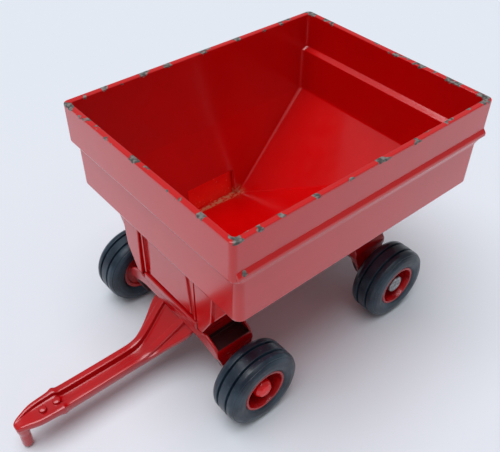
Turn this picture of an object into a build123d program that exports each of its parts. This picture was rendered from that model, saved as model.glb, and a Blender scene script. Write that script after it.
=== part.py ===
from build123d import *
from math import atan2, cos, sin, tan, radians
import os

# Gravity wagon, a small die-cast model of the farm implement.
# Millimetres. +X towards the tongue, +Y the wagon's left, +Z up. The origin is
# on the ground, under the middle of the whole wagon's bounding box.

# hopper box; a size ending in _UP is a height above the axle centres
RIM_LENGTH = 47.9
RIM_WIDTH = 37.9
RIM_UP = 33.15
BAND_UP = 26.85         # lower edge of the upper band
BOX_UP = 18.95          # where the upright walls end and the slopes begin
WALL = 0.9
SLOPE_WALL = 0.7
RIM_CORNER = 1.3
LOWER_CORNER = 1.9
END_SET_IN = 0.95       # lower end panels stand in from the upper band
SIDE_SET_IN = 0.2
STEP_DROP = 0.8         # height of the sloping step on each end panel
BEAD_PROUD = 0.5
BEAD_LIFT = 0.3         # underside of the bead above the band's lower edge
BEAD_HEIGHT = 1.3
BEAD_ROOT = 0.5         # depth to which the bead runs into the wall

# grain slopes and discharge opening, on the wagon's right
SILL_UP = 3.35
FLOOR_HALF = 6.0        # half length of the floor at the discharge wall
DISCHARGE_LEAN = 1.35   # the discharge wall leans in by this much at the sill
OPENING_HALF = 5.1
OPENING_HEIGHT = 5.4
SPOUT_LENGTH = 2.0      # spout lip from the discharge wall
SPOUT_ANGLE = 25.0
SPOUT_THICK = 0.75
SPOUT_DROP = 0.45       # spout floor below the sill, under the gate
SPOUT_ROOT = 0.4        # depth to which the spout runs into the wall

# sliding gate
GATE_LAP = 0.8          # gate past the opening at each side
GATE_RISE = 1.0         # and above it
GATE_FOOT = 0.2         # and below the sill
GATE_THICK = 0.5
PULL_LENGTH = 5.0
PULL_HEIGHT = 0.8
PULL_PROUD = 0.8
GATE_GAP = 0.1          # sliding clearance all round
RAIL_WIDTH = 0.9
RAIL_LIP = 0.45
RAIL_COVER = 0.7        # lip over the gate's edge
RAIL_HEIGHT = 9.6

# end supports under the box
SUPPORT_SET_IN = 1.7    # face of the legs, in from the lower end panel
SUPPORT_SIDE_IN = 2.25  # top of the support, in from the side walls
SUPPORT_FOOT_HALF = 8.4
SUPPORT_FOOT_DROP = 0.5 # legs end below the top of the deck
SUPPORT_PLATE = 0.7
PAD_PROUD = 1.0
PAD_TOP_HALF = 4.1
PAD_FOOT_HALF = 5.3
PAD_LIFT = 0.6          # lower edge of the pad and plate above the deck
LEG_PROUD = 0.7
LEG_IN_TOP = 6.9        # leg edges from the middle, at its top, knee and foot
LEG_OUT_TOP = 11.4
LEG_OUT_KNEE = 10.6
LEG_KNEE_UP = 4.0
LEG_IN_FOOT = 7.3
RIB_Y = 6.15
RIB_THICK = 0.35
RIB_PROUD = 0.5
WEB_Y = 7.1
WEB_THICK = 0.8
FOOT_SET_IN = 1.0       # edge of the foot plate, in from the legs' face
FOOT_LENGTH = 5.9
FOOT_WIDTH = 14.6
FOOT_THICK = 1.0

# running gear
KING_SET_IN = 3.7       # king pin, in from the legs' face
RIVET_SET_IN = 4.3
RIVET_Y = 3.8
RIVET_RADIUS = 0.8
TYRE_GAP = 0.05         # rear tyre behind the gate rail
FRONT_TRACK = 32.0
REAR_TRACK = 28.8
WHEEL_RADIUS = 6.35
TYRE_WIDTH = 5.5
AXLE_RADIUS = 0.92
AXLE_GAP = 0.03         # running clearance of a wheel on its axle
HUB_LENGTH = 4.15       # from the wheel's middle plane to the end of its hub
HUB_PLAY = 0.15
DECK_UP = 5.65          # underside of the chassis plates
DECK_THICK = 1.4
DECK_WIDTH = 13.6
DECK_LENGTH = 7.2
REACH_WIDTH = 5.0
ARM_HALF = 3.6          # half length of an axle arm along the wagon
LEG_THICK = 1.6
KING_RADIUS = 1.2
KING_GAP = 0.05
TURN_GAP = 0.1          # between the turning axle and the plates around it

# tongue
HITCH_REACH = 29.45     # hitch pin from the front axle
PIN_RADIUS = 0.8
PIN_TIP_Z = 0.3
NOSE_RADIUS = 1.05
TONGUE_HALF = 2.1
TONGUE_DROP = 0.45      # top of the tongue below the axle centres
TONGUE_DEPTH = 1.8
YOKE_HALF = 4.9

half_l = RIM_LENGTH / 2
half_w = RIM_WIDTH / 2
low_l = half_l - END_SET_IN
low_w = half_w - SIDE_SET_IN
rim_z = WHEEL_RADIUS + RIM_UP
band_z = WHEEL_RADIUS + BAND_UP
box_z = WHEEL_RADIUS + BOX_UP
sill_z = WHEEL_RADIUS + SILL_UP
deck_z = WHEEL_RADIUS + DECK_UP
foot_z = deck_z + DECK_THICK
tongue_top = WHEEL_RADIUS - TONGUE_DROP
bead_z = band_z + BEAD_LIFT
gate_half = OPENING_HALF + GATE_LAP
rail_in = gate_half + GATE_GAP
rail_out = rail_in + RAIL_WIDTH
gate_height = GATE_FOOT + OPENING_HEIGHT + GATE_RISE
support_x = low_l - SUPPORT_SET_IN
support_top = low_w - SUPPORT_SIDE_IN
support_foot = foot_z - SUPPORT_FOOT_DROP
foot_out = support_x - FOOT_SET_IN
foot_in = foot_out - FOOT_LENGTH
plate_x = support_x - LEG_PROUD
front_along = support_x - KING_SET_IN       # from the hopper's middle
rear_along = rail_out + WHEEL_RADIUS + TYRE_GAP
pin_along = front_along + HITCH_REACH
hopper_x = -(pin_along + NOSE_RADIUS - half_l) / 2
front_x = hopper_x + front_along
rear_x = hopper_x - rear_along
rivet_x = hopper_x - support_x + RIVET_SET_IN
side_view = Plane.XZ.move(Location((hopper_x, 0, 0)))
end_view = Plane.YZ.offset(hopper_x)

# the box walls continue as slopes: two ends, and a long one from the left wall
# down to the sill on the right
slope_top = box_z + 0.3
end_run = low_l - WALL - FLOOR_HALF
end_shift = SLOPE_WALL / sin(atan2(slope_top - sill_z, end_run))
sill_in = half_w - WALL - DISCHARGE_LEAN - SIDE_SET_IN
sill_out = sill_in + WALL
spout_reach = sill_out + SPOUT_LENGTH
floor_rise = (slope_top - sill_z) / (half_w - WALL + sill_in)
floor_drop = SLOPE_WALL / cos(atan2(floor_rise, 1))

# ---- space for the grain, cut out of the hopper casting ----
with BuildPart() as grain_space:
    with BuildSketch(side_view):
        with BuildLine():
            Polyline(
                (-(half_l - WALL), rim_z + 1), (half_l - WALL, rim_z + 1),
                (half_l - WALL, band_z + 0.5), (low_l - WALL, band_z + 0.5 - STEP_DROP),
                (low_l - WALL, slope_top), (FLOOR_HALF, sill_z), (FLOOR_HALF, sill_z - 1),
                (-FLOOR_HALF, sill_z - 1), (-FLOOR_HALF, sill_z), (-(low_l - WALL), slope_top),
                (-(low_l - WALL), band_z + 0.5 - STEP_DROP), (-(half_l - WALL), band_z + 0.5),
                close=True)
        make_face()
    extrude(amount=RIM_WIDTH, both=True)
    with BuildSketch(end_view):
        with BuildLine():
            Polyline(
                (half_w - WALL, rim_z + 1), (half_w - WALL, slope_top), (-sill_in, sill_z),
                (-(half_w - WALL), slope_top), (-(half_w - WALL), rim_z + 1), close=True)
        make_face()
    extrude(amount=RIM_LENGTH, both=True, mode=Mode.INTERSECT)
    with BuildSketch(Plane.XY):
        with Locations((hopper_x, 0)):
            RectangleRounded(RIM_LENGTH - 2 * WALL, RIM_WIDTH - 2 * WALL, RIM_CORNER - 0.4)
    extrude(amount=rim_z + 2, mode=Mode.INTERSECT)



def under_slope(along):
    """Height inside the end slope's thickness, at a distance from the hopper's middle."""
    return sill_z + (along - FLOOR_HALF) * (slope_top - sill_z) / end_run - SLOPE_WALL


# frame of the discharge wall's outer face: x along the wagon, y up the wall, z outward
lean = atan2(DISCHARGE_LEAN, box_z - sill_z)
gate_plane = Plane(origin=(hopper_x, -sill_out, sill_z), x_dir=(1, 0, 0),
                   z_dir=(0, -cos(lean), -sin(lean)))
rail_plane = Plane(origin=(hopper_x, -sill_out, sill_z), x_dir=(1, 0, 0),
                   z_dir=(0, -sin(lean), cos(lean)))

# ---- hopper: one casting, with its end supports, gate rails and spout ----
with BuildPart() as hopper:
    with BuildSketch(side_view):
        with BuildLine():
            Polyline(
                (-low_l, box_z), (low_l, box_z),
                (FLOOR_HALF + end_shift, sill_z), (FLOOR_HALF + end_shift, 0),
                (-FLOOR_HALF - end_shift, 0), (-FLOOR_HALF - end_shift, sill_z), close=True)
        make_face()
    extrude(amount=low_w, both=True)
    with BuildSketch(end_view):
        with BuildLine():
            Polyline(
                (low_w, box_z),
                (low_w, min(box_z - 0.1, sill_z - floor_drop + floor_rise * (low_w + sill_in))),
                (-sill_out, sill_z - floor_drop - floor_rise * WALL),
                (-sill_out, sill_z), (-low_w, box_z), close=True)
        make_face()
    extrude(amount=RIM_LENGTH, both=True, mode=Mode.INTERSECT)
    with BuildSketch(Plane.XY):
        with Locations((hopper_x, 0)):
            RectangleRounded(2 * low_l, 2 * low_w, LOWER_CORNER)
    extrude(amount=box_z, mode=Mode.INTERSECT)
    # lower band, sloping step, upper band
    with BuildSketch(Plane.XY.offset(box_z)):
        with Locations((hopper_x, 0)):
            RectangleRounded(2 * low_l, 2 * low_w, LOWER_CORNER)
    extrude(amount=band_z - box_z)
    with BuildSketch(Plane.XY.offset(band_z - STEP_DROP)):
        with Locations((hopper_x, 0)):
            RectangleRounded(2 * low_l, 2 * low_w, RIM_CORNER)
    with BuildSketch(Plane.XY.offset(band_z)):
        with Locations((hopper_x, 0)):
            RectangleRounded(RIM_LENGTH, RIM_WIDTH, RIM_CORNER)
    loft()
    with BuildSketch(Plane.XY.offset(band_z)):
        with Locations((hopper_x, 0)):
            RectangleRounded(RIM_LENGTH, RIM_WIDTH, RIM_CORNER)
    extrude(amount=rim_z - band_z)
    fillet(hopper.faces().sort_by(Axis.Z)[-1].outer_wire().edges(), 0.35)
    # bead along each side
    for side in (1, -1):
        with BuildSketch(end_view):
            with BuildLine():
                Polyline(
                    (side * (half_w - BEAD_ROOT), bead_z - 0.1), (side * half_w, bead_z),
                    (side * (half_w + BEAD_PROUD), bead_z + 0.1),
                    (side * (half_w + BEAD_PROUD), bead_z + BEAD_HEIGHT - 0.3),
                    (side * half_w, bead_z + BEAD_HEIGHT),
                    (side * (half_w - BEAD_ROOT), bead_z + BEAD_HEIGHT), close=True)
            make_face()
        extrude(amount=half_l - RIM_CORNER, both=True)
    # end supports: plate, two legs, middle pad and ribs beside it, foot plate, webs
    plate_foot = support_foot + 0.6
    rib_foot, rib_top = foot_z + 0.4, box_z - 0.1
    for end in (1, -1):
        with BuildSketch(Plane.YZ.offset(hopper_x + end * plate_x)):
            with BuildLine():
                Polyline(
                    (-support_top, box_z), (support_top, box_z),
                    (SUPPORT_FOOT_HALF, plate_foot), (-SUPPORT_FOOT_HALF, plate_foot),
                    close=True)
            make_face()
        extrude(amount=-end * SUPPORT_PLATE)
        with BuildSketch(Plane.YZ.offset(hopper_x + end * (plate_x - SUPPORT_PLATE))):
            for side in (1, -1):
                with BuildLine():
                    Polyline(
                        (side * LEG_IN_TOP, box_z), (side * LEG_OUT_TOP, box_z),
                        (side * LEG_OUT_KNEE, support_foot + LEG_KNEE_UP),
                        (side * SUPPORT_FOOT_HALF, support_foot), (side * LEG_IN_FOOT, support_foot),
                        close=True)
                make_face()
        extrude(amount=end * (SUPPORT_PLATE + LEG_PROUD))
        with BuildSketch(Plane.YZ.offset(hopper_x + end * plate_x)):
            with BuildLine():
                Polyline(
                    (-PAD_TOP_HALF, box_z), (PAD_TOP_HALF, box_z),
                    (PAD_FOOT_HALF, foot_z + PAD_LIFT), (-PAD_FOOT_HALF, foot_z + PAD_LIFT), close=True)
            make_face()
        extrude(amount=end * PAD_PROUD)
        for side in (1, -1):
            rib_x = hopper_x + end * (plate_x + RIB_PROUD / 2)
            with Locations((rib_x, side * RIB_Y, (rib_foot + rib_top) / 2)):
                Box(RIB_PROUD, RIB_THICK, rib_top - rib_foot)
            with BuildSketch(Plane.XZ.offset(-side * WEB_Y).move(Location((hopper_x, 0, 0)))):
                with BuildLine():
                    Polyline(
                        (end * foot_out, foot_z), (end * foot_in, foot_z),
                        (end * foot_in, under_slope(foot_in)), (end * foot_out, under_slope(foot_out)),
                        close=True)
                make_face()
            extrude(amount=WEB_THICK / 2, both=True)
        with Locations((hopper_x + end * (foot_in + foot_out) / 2, 0, foot_z + FOOT_THICK / 2)):
            Box(FOOT_LENGTH, FOOT_WIDTH, FOOT_THICK)
    # spout: floor and two cheeks
    spout_fall = SPOUT_LENGTH * tan(radians(SPOUT_ANGLE))
    spout_top = sill_z - SPOUT_DROP
    spout_low = spout_top - SPOUT_THICK - 0.1
    cheek_top = sill_z + 1.1
    with BuildSketch(end_view):
        with BuildLine():
            Polyline(
                (-sill_out + SPOUT_ROOT, spout_top), (-sill_out, spout_top),
                (-spout_reach, spout_top - spout_fall),
                (-spout_reach, spout_top - SPOUT_THICK - spout_fall),
                (-sill_out, spout_low), (-sill_out + SPOUT_ROOT, spout_low), close=True)
        make_face()
    extrude(amount=rail_out, both=True)
    for side in (1, -1):
        with BuildSketch(end_view.offset(side * (rail_in + RAIL_WIDTH / 2))):
            with BuildLine():
                Polyline(
                    (-sill_out + SPOUT_ROOT, spout_low), (-sill_out, spout_low),
                    (-spout_reach, spout_top - SPOUT_THICK - spout_fall),
                    (-spout_reach, cheek_top - 0.6 - spout_fall), (-spout_reach + 0.6, cheek_top),
                    (-sill_out + SPOUT_ROOT, cheek_top), close=True)
            make_face()
        extrude(amount=RAIL_WIDTH / 2, both=True)
    # rails: an angle each side, its lip over the gate's edge
    lip_low = GATE_THICK + 2 * GATE_GAP
    with BuildSketch(rail_plane.offset(-0.2)):
        for side in (1, -1):
            with BuildLine():
                Polyline(
                    (side * rail_in, 0.5), (side * rail_out, 0.5),
                    (side * rail_out, -lip_low - RAIL_LIP),
                    (side * (gate_half - RAIL_COVER), -lip_low - RAIL_LIP),
                    (side * (gate_half - RAIL_COVER), -lip_low), (side * rail_in, -lip_low), close=True)
            make_face()
    extrude(amount=RAIL_HEIGHT)
    add(grain_space.part, mode=Mode.SUBTRACT)
    # discharge opening
    with BuildSketch(gate_plane):
        with Locations((0, OPENING_HEIGHT / 2)):
            Rectangle(2 * OPENING_HALF, OPENING_HEIGHT)
    extrude(amount=-2.0, both=True, mode=Mode.SUBTRACT)
    # rivet holes in the foot plates
    with Locations((front_x, 0, foot_z)):
        Cylinder(KING_RADIUS, 4, mode=Mode.SUBTRACT)
    with Locations(*[(rivet_x, y, foot_z) for y in (-RIVET_Y, RIVET_Y)]):
        Cylinder(RIVET_RADIUS, 4, mode=Mode.SUBTRACT)

# ---- gate: plate with a pull lip, slides up the outside of the discharge wall ----
with BuildPart() as gate:
    with BuildSketch(gate_plane.offset(GATE_GAP)):
        with Locations((0, gate_height / 2 - GATE_FOOT)):
            Rectangle(2 * gate_half, gate_height)
    extrude(amount=GATE_THICK)
    with BuildSketch(gate_plane.offset(GATE_GAP + GATE_THICK)):
        with Locations((0, OPENING_HEIGHT + GATE_RISE - 0.9)):
            RectangleRounded(PULL_LENGTH, PULL_HEIGHT, 0.3)
    extrude(amount=PULL_PROUD)

# ---- chassis: front bolster, reach, rear axle bridge, one casting ----
rear_leg = REAR_TRACK / 2 - HUB_LENGTH - HUB_PLAY
with BuildPart() as chassis:
    with Locations((front_x, 0, deck_z + DECK_THICK / 2)):
        Box(DECK_LENGTH, DECK_WIDTH, DECK_THICK)
    with Locations(((front_x + rear_x) / 2, 0, deck_z + DECK_THICK / 2)):
        Box(front_x - rear_x, REACH_WIDTH, DECK_THICK)
    with Locations((rear_x + 9.0, 0, deck_z - 0.7)):
        Box(12.0, 1.6, 1.6)
    with Locations(((rear_x + 1.0 + hopper_x - support_x) / 2, 0, deck_z + DECK_THICK / 2)):
        Box(rear_x + 1.0 - hopper_x + support_x, DECK_WIDTH, DECK_THICK)
    with BuildSketch(Plane.YZ.offset(rear_x)):
        with BuildLine():
            Polyline(
                (-rear_leg, deck_z - 1.4), (-rear_leg + 0.6, deck_z - 0.5), (-6.0, foot_z),
                (6.0, foot_z), (rear_leg - 0.6, deck_z - 0.5), (rear_leg, deck_z - 1.4),
                (rear_leg, deck_z - 2.4), (rear_leg - LEG_THICK, deck_z - 2.4), (6.4, deck_z),
                (-6.4, deck_z), (-rear_leg + LEG_THICK, deck_z - 2.4), (-rear_leg, deck_z - 2.4),
                close=True)
        make_face()
    extrude(amount=ARM_HALF, both=True)
    for side in (1, -1):
        leg_plane = Plane.XZ.offset(-side * (rear_leg - LEG_THICK / 2))
        with BuildSketch(leg_plane.move(Location((rear_x, 0, 0)))):
            with BuildLine():
                Polyline((-ARM_HALF, deck_z - 2.3), (ARM_HALF, deck_z - 2.3), (2.1, WHEEL_RADIUS - 0.3),
                         (1.3, WHEEL_RADIUS - 1.9), (-1.3, WHEEL_RADIUS - 1.9),
                         (-2.1, WHEEL_RADIUS - 0.3), close=True)
            make_face()
        extrude(amount=LEG_THICK / 2, both=True)
    with Locations(Location((rear_x, 0, WHEEL_RADIUS), (90, 0, 0))):
        Cylinder(AXLE_RADIUS, REAR_TRACK, mode=Mode.SUBTRACT)
    with Locations((front_x, 0, deck_z)):
        Cylinder(KING_RADIUS, 4, mode=Mode.SUBTRACT)
    with Locations(*[(rivet_x, y, deck_z) for y in (-RIVET_Y, RIVET_Y)]):
        Cylinder(RIVET_RADIUS, 4, mode=Mode.SUBTRACT)

# ---- front axle and tongue: one casting, turns on the king pin ----
front_leg = FRONT_TRACK / 2 - HUB_LENGTH - HUB_PLAY
turn_top = deck_z - TURN_GAP
turn_low = turn_top - 1.8
with BuildPart() as front_axle:
    with BuildSketch(side_view):
        with BuildLine():
            Polyline(
                (front_along + 2.4, deck_z - 1.1), (front_along + 3.4, deck_z - 1.6),
                (front_along + 9.4, tongue_top),
                (pin_along + 5, tongue_top), (pin_along + 5, tongue_top - TONGUE_DEPTH),
                (front_along + 8.6, tongue_top - TONGUE_DEPTH), (front_along + 3.2, deck_z - 4.6),
                (front_along + 2.4, deck_z - 3.8), close=True)
        make_face()
    extrude(amount=YOKE_HALF + 1, both=True)
    with BuildSketch(Plane.XY):
        with Locations((hopper_x + pin_along, 0)):
            Circle(NOSE_RADIUS)
        with BuildLine(Plane.XY.move(Location((hopper_x, 0, 0)))):
            Polyline(
                (front_along + 1, -YOKE_HALF), (front_along + 3.2, -YOKE_HALF),
                (front_along + 5.2, -YOKE_HALF * 0.68), (front_along + 8.9, -TONGUE_HALF),
                (pin_along - 2.6, -TONGUE_HALF), (pin_along + 0.2, -NOSE_RADIUS),
                (pin_along + 0.2, NOSE_RADIUS),
                (pin_along - 2.6, TONGUE_HALF), (front_along + 8.9, TONGUE_HALF),
                (front_along + 5.2, YOKE_HALF * 0.68), (front_along + 3.2, YOKE_HALF),
                (front_along + 1, YOKE_HALF), close=True)
        make_face()
    extrude(amount=14, mode=Mode.INTERSECT)
    # channel along the tongue, thinner nose, two bosses in the channel
    with Locations((hopper_x + (front_along + 10.4 + pin_along - 1.9) / 2, 0, tongue_top)):
        Box(pin_along - front_along - 12.3, 2.3, 1.4, mode=Mode.SUBTRACT)
    with Locations((hopper_x + pin_along - 1.0, 0, tongue_top - TONGUE_DEPTH)):
        Box(9.8, 6, 0.7, mode=Mode.SUBTRACT)
    with Locations(*[(hopper_x + pin_along - d, 0, tongue_top - 0.6) for d in (3.4, 5.6)]):
        Cylinder(0.6, 0.6)
    # hitch pin: short taper, straight shank, round tip
    with Locations((hopper_x + pin_along, 0, tongue_top - TONGUE_DEPTH - 0.25)):
        Cone(PIN_RADIUS, NOSE_RADIUS - 0.05, 1.3)
    with Locations((hopper_x + pin_along, 0, (tongue_top - TONGUE_DEPTH + PIN_TIP_Z + PIN_RADIUS) / 2)):
        Cylinder(PIN_RADIUS, tongue_top - TONGUE_DEPTH - PIN_TIP_Z - PIN_RADIUS)
    with Locations((hopper_x + pin_along, 0, PIN_TIP_Z + PIN_RADIUS)):
        Sphere(PIN_RADIUS)
    # axle bridge with its two legs
    with BuildSketch(Plane.YZ.offset(front_x)):
        with BuildLine():
            Polyline(
                (-front_leg, deck_z - 1.8), (-front_leg + 1.2, deck_z - 0.7), (-7.2, turn_top),
                (7.2, turn_top), (front_leg - 1.2, deck_z - 0.7), (front_leg, deck_z - 1.8),
                (front_leg, deck_z - 2.8), (front_leg - LEG_THICK, deck_z - 2.8), (8.6, turn_low),
                (-8.6, turn_low), (-front_leg + LEG_THICK, deck_z - 2.8), (-front_leg, deck_z - 2.8),
                close=True)
        make_face()
    extrude(amount=3.4, both=True)
    for side in (1, -1):
        leg_plane = Plane.XZ.offset(-side * (front_leg - LEG_THICK / 2))
        with BuildSketch(leg_plane.move(Location((front_x, 0, 0)))):
            with BuildLine():
                Polyline((-3.4, deck_z - 2.7), (3.4, deck_z - 2.7), (2.1, WHEEL_RADIUS - 0.3),
                         (1.3, WHEEL_RADIUS - 1.9), (-1.3, WHEEL_RADIUS - 1.9),
                         (-2.1, WHEEL_RADIUS - 0.3), close=True)
            make_face()
        extrude(amount=LEG_THICK / 2, both=True)
    with Locations(Location((front_x, 0, WHEEL_RADIUS), (90, 0, 0))):
        Cylinder(AXLE_RADIUS, FRONT_TRACK, mode=Mode.SUBTRACT)
    with Locations((front_x, 0, turn_top)):
        Cylinder(KING_RADIUS + KING_GAP, 6, mode=Mode.SUBTRACT)

# ---- king pin: rivet through front axle, bolster and hopper foot; washer under the axle ----
washer_top = turn_low - TURN_GAP
with BuildPart() as king_pin:
    with Locations((front_x, 0, washer_top - 0.75)):
        Cylinder(1.9, 0.7)
    with Locations((front_x, 0, (washer_top - 0.4 + foot_z + FOOT_THICK) / 2)):
        Cylinder(KING_RADIUS, foot_z + FOOT_THICK - washer_top + 0.4)
    with Locations((front_x, 0, foot_z + FOOT_THICK + 0.3)):
        Cylinder(1.9, 0.6)
    fillet(king_pin.faces().sort_by(Axis.Z)[-1].edges(), 0.4)
    fillet(king_pin.faces().sort_by(Axis.Z)[0].edges(), 0.4)
with BuildPart() as king_washer:
    with Locations((front_x, 0, washer_top - 0.2)):
        Cylinder(2.2, 0.4)
        Cylinder(KING_RADIUS, 0.4, mode=Mode.SUBTRACT)

# ---- rear rivets: chassis to hopper foot, two alike ----
with BuildPart() as rear_rivets:
    with Locations(*[(rivet_x, y, 0) for y in (-RIVET_Y, RIVET_Y)]):
        with Locations((0, 0, deck_z - 0.3)):
            Cylinder(1.4, 0.6)
        with Locations((0, 0, (deck_z + foot_z + FOOT_THICK) / 2)):
            Cylinder(RIVET_RADIUS, foot_z + FOOT_THICK - deck_z)
        with Locations((0, 0, foot_z + FOOT_THICK + 0.25)):
            Cylinder(1.3, 0.5)

# ---- rear axle: steel rod with a flat head formed on each end ----
head_in = 0.5           # inner face of an axle head, from the wheel's middle plane
with BuildPart() as rear_axle:
    with Locations(Location((rear_x, 0, WHEEL_RADIUS), (90, 0, 0))):
        Cylinder(AXLE_RADIUS, REAR_TRACK + 2 * head_in)
    for side in (1, -1):
        head_y = side * (REAR_TRACK / 2 + head_in + 0.8)
        with Locations(Location((rear_x, head_y, WHEEL_RADIUS), (90, 0, 0))):
            Cylinder(1.5, 1.6)
    for end in (0, -1):
        chamfer(rear_axle.faces().sort_by(Axis.Y)[end].edges(), 0.2)

# ---- front axle rod, and a domed cap pressed on each end ----
with BuildPart() as front_rod:
    with Locations(Location((front_x, 0, WHEEL_RADIUS), (90, 0, 0))):
        Cylinder(AXLE_RADIUS, FRONT_TRACK + 2 * 1.7)

# ---- wheels: rim and tyre turned about the axle, inner hub towards the leg ----
def rim_profile(out):
    return [(AXLE_RADIUS + AXLE_GAP, -out * HUB_LENGTH), (1.7, -out * HUB_LENGTH), (1.7, -out * 0.7),
            (2.95, -out * 0.7), (2.95, -out * 2.3), (3.6, -out * 2.3), (3.6, -out * 2.0),
            (3.4, -out * 1.8), (3.4, out * 1.8), (3.6, out * 2.0), (3.6, out * 2.3),
            (2.95, out * 2.3), (2.95, out * (head_in - 0.1)),
            (AXLE_RADIUS + AXLE_GAP, out * (head_in - 0.1))]


side_mid = TYRE_WIDTH / 2
groove = [(WHEEL_RADIUS, 1.1), (WHEEL_RADIUS - 0.4, 1.05),
          (WHEEL_RADIUS - 0.4, 0.75), (WHEEL_RADIUS, 0.7)]
tyre_half = [(3.4, 1.8), (3.6, 2.0), (3.6, 2.3), (4.0, side_mid - 0.15), (4.6, side_mid),
             (5.3, side_mid - 0.05), (5.9, side_mid - 0.3), (WHEEL_RADIUS - 0.1, side_mid - 0.75),
             (WHEEL_RADIUS, side_mid - 1.1)] + groove
tyre_profile = [(r, -a) for r, a in tyre_half] + [(r, a) for r, a in reversed(tyre_half)]

for name, x, track in (("front", front_x, FRONT_TRACK), ("rear", rear_x, REAR_TRACK)):
    for hand, side in (("left", 1), ("right", -1)):
        mid = side * track / 2
        wheel_plane = Plane(origin=(x, mid, WHEEL_RADIUS), x_dir=(1, 0, 0), z_dir=(0, 0, 1))
        wheel_axis = Axis((x, mid, WHEEL_RADIUS), (0, 1, 0))
        with BuildPart() as rim:
            with BuildSketch(wheel_plane):
                with BuildLine():
                    Polyline(*rim_profile(side), close=True)
                make_face()
            revolve(axis=wheel_axis)
        rim.part.label = f"rim_{name}_{hand}"
        export_step(rim.part, f"parts/rim_{name}_{hand}.step")
        with BuildPart() as tyre:
            with BuildSketch(wheel_plane):
                with BuildLine():
                    Polyline(*tyre_profile, close=True)
                make_face()
            revolve(axis=wheel_axis)
        tyre.part.label = f"tyre_{name}_{hand}"
        export_step(tyre.part, f"parts/tyre_{name}_{hand}.step")

for hand, side in (("left", 1), ("right", -1)):
    with BuildPart() as cap:
        with Locations(Location((front_x, side * (FRONT_TRACK / 2 + 1.6), WHEEL_RADIUS), (90, 0, 0))):
            Cylinder(1.4, 2.2)
        fillet(cap.faces().sort_by(Axis.Y)[-1 if side > 0 else 0].edges(), 1.15)
        with Locations(Location((front_x, side * (FRONT_TRACK / 2 + 1.1), WHEEL_RADIUS), (90, 0, 0))):
            Cylinder(AXLE_RADIUS, 1.2, mode=Mode.SUBTRACT)
    cap.part.label = f"front_cap_{hand}"
    export_step(cap.part, f"parts/front_cap_{hand}.step")

hopper.part.label = "hopper"
export_step(hopper.part, "parts/hopper.step")
gate.part.label = "discharge_gate"
export_step(gate.part, "parts/discharge_gate.step")
chassis.part.label = "chassis"
export_step(chassis.part, "parts/chassis.step")
front_axle.part.label = "front_axle_tongue"
export_step(front_axle.part, "parts/front_axle_tongue.step")
king_pin.part.label = "king_pin"
export_step(king_pin.part, "parts/king_pin.step")
king_washer.part.label = "king_washer"
export_step(king_washer.part, "parts/king_washer.step")
rear_rivets.part.label = "rear_rivets"
export_step(rear_rivets.part, "parts/rear_rivets.step")
rear_axle.part.label = "rear_axle"
export_step(rear_axle.part, "parts/rear_axle.step")
front_rod.part.label = "front_axle_rod"
export_step(front_rod.part, "parts/front_axle_rod.step")
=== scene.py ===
import bpy
import bmesh
from math import atan2, cos, pi, radians, sin, tan
from mathutils import Matrix, Vector


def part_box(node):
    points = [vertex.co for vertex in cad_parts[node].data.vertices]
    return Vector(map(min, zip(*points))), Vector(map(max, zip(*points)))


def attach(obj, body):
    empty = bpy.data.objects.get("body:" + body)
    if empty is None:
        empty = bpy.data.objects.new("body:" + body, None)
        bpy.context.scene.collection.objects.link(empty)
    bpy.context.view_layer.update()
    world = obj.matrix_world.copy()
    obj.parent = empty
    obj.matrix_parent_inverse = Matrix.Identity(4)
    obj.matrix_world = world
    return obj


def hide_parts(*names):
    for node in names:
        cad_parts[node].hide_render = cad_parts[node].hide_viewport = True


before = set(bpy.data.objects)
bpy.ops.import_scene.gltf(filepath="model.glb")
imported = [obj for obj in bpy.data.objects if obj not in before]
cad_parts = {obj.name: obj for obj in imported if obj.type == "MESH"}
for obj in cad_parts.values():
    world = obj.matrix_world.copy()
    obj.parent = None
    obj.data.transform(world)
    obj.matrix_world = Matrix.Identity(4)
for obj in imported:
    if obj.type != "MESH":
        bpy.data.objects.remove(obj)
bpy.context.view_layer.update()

MM = 0.001
scene = bpy.context.scene

# ---- where the CAD has the pieces, in millimetres ----


def node_box(node):
    low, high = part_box(node)
    return low / MM, high / MM


def wheel_centre(node):
    low, high = node_box(node)
    return (low + high) / 2


hopper_low, hopper_high = node_box("hopper")
HOPPER_X = (hopper_low.x + hopper_high.x) / 2
RIM_Z = hopper_high.z
FRONT_X = wheel_centre("tyre_front_left").x
REAR_X = wheel_centre("tyre_rear_left").x
AXLE_Z = wheel_centre("tyre_front_left").z

# ---- camera ----
CAMERA_AT = Vector((44.9, 60.3, 89.2)) * MM
CAMERA_AIM = Vector((-11.3, -5.2, 12.7)) * MM
CAMERA_LENS = 48.6
CAMERA_ROLL = 0.8

camera_data = bpy.data.cameras.new("camera")
camera_data.lens = CAMERA_LENS
camera_data.sensor_width = 36
camera_data.clip_start = 0.005
camera = bpy.data.objects.new("camera", camera_data)
scene.collection.objects.link(camera)
camera.location = CAMERA_AT
camera.rotation_euler = ((CAMERA_AIM - CAMERA_AT).to_track_quat("-Z", "Y").to_matrix()
                         @ Matrix.Rotation(radians(CAMERA_ROLL), 3, "Z")).to_euler()
scene.camera = camera


# ---- materials ----
def linear(hex_colour):
    parts = [int(hex_colour[i:i + 2], 16) / 255 for i in (1, 3, 5)]
    return [c / 12.92 if c <= 0.04045 else ((c + 0.055) / 1.055) ** 2.4 for c in parts] + [1]


def node(tree, kind, settings=None, **inputs):
    """Adds a node, its settings, and its inputs: a value, or another node's output to link."""
    n = tree.nodes.new(kind)
    for key, value in (settings or {}).items():
        setattr(n, key, value)
    for key, value in inputs.items():
        by_number = key[0] == "i" and key[1:].isdigit()
        socket = n.inputs[int(key[1:]) if by_number else key.replace("_", " ")]
        if isinstance(value, bpy.types.NodeSocket):
            tree.links.new(value, socket)
        else:
            socket.default_value = value
    return n


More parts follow.
